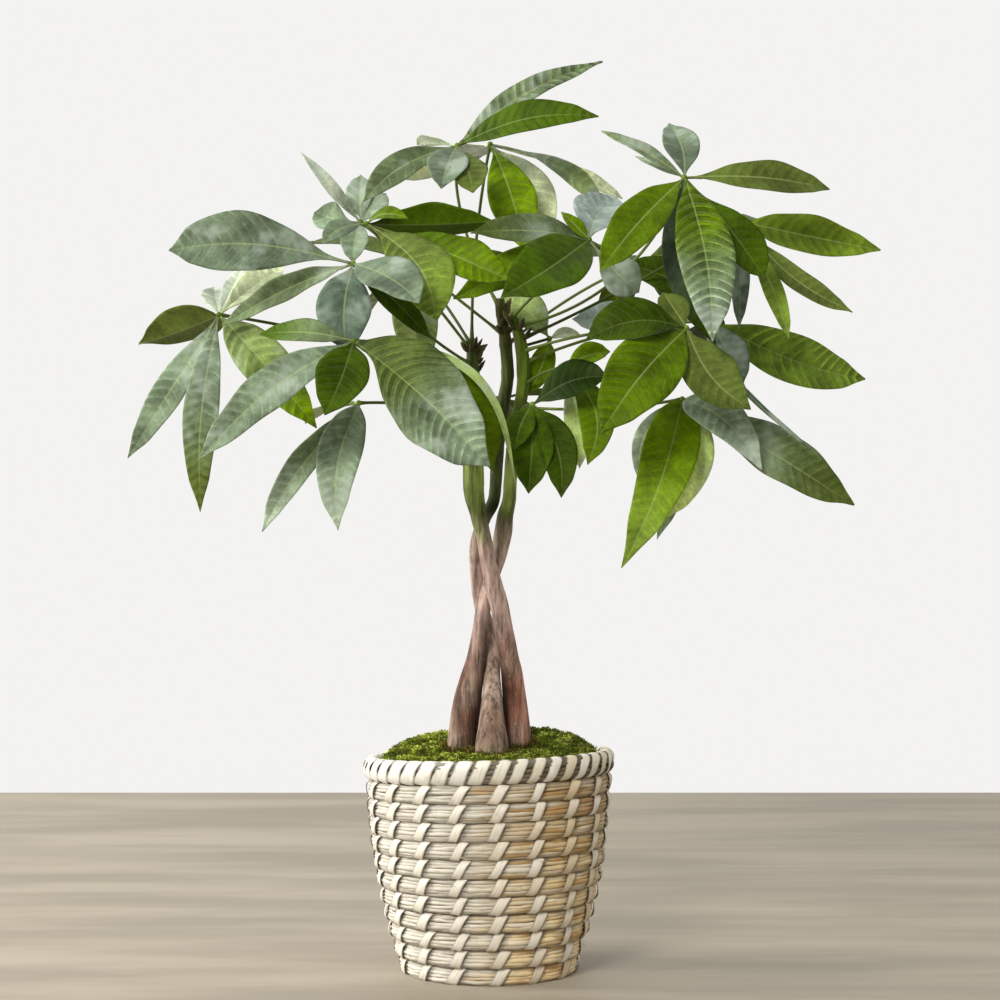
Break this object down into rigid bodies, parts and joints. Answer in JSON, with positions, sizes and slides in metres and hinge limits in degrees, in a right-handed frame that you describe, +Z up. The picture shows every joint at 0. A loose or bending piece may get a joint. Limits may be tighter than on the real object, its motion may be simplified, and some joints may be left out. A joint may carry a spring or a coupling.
{
  "type": "potted money tree",
  "caption": "Braided money tree with palmate leaves, in a nursery pot under moss, standing in a coiled seagrass basket with a wrapped rim.",
  "frame": {"origin": "centre of the basket's underside", "axes": "+Z up along the basket's axis, -Y towards the front as pictured, +X to the right"},
  "size_m": [0.5597, 0.4339, 0.6967],
  "materials": {
    "seagrass": "matt woven plant fibre with cream stitches",
    "rim_wrap": "satin cream palm strips",
    "pot_plastic": "matt black moulded",
    "soil": "rough dark peat",
    "moss": "rough soft cushion",
    "bark": "matt grey-brown bark, green towards the shoots",
    "leaf": "satin green with pale ribs"
  },
  "bodies": {
    "root": {"basket": "seagrass", "basket_rim": "rim_wrap", "nursery_pot": "pot_plastic", "soil": "soil", "moss": "moss", "stem_left": "bark", "stem_right": "bark", "stem_middle": "bark", "leaf_far_left": "leaf", "leaf_left": "leaf", "leaf_upper_left": "leaf", "leaf_upper_left_young": "leaf", "leaf_top": "leaf", "leaf_top_right": "leaf", "leaf_centre_right": "leaf", "leaf_right_top": "leaf", "leaf_right": "leaf", "leaf_right_low": "leaf", "leaf_front_right": "leaf", "leaf_low_right": "leaf", "leaf_centre_low": "leaf", "leaf_centre_pale": "leaf", "leaf_centre_young": "leaf", "leaf_front_left": "leaf", "leaf_low_left": "leaf", "leaf_back_left": "leaf", "leaf_back_right": "leaf", "leaf_back_low": "leaf"}
  },
  "joints": []
}
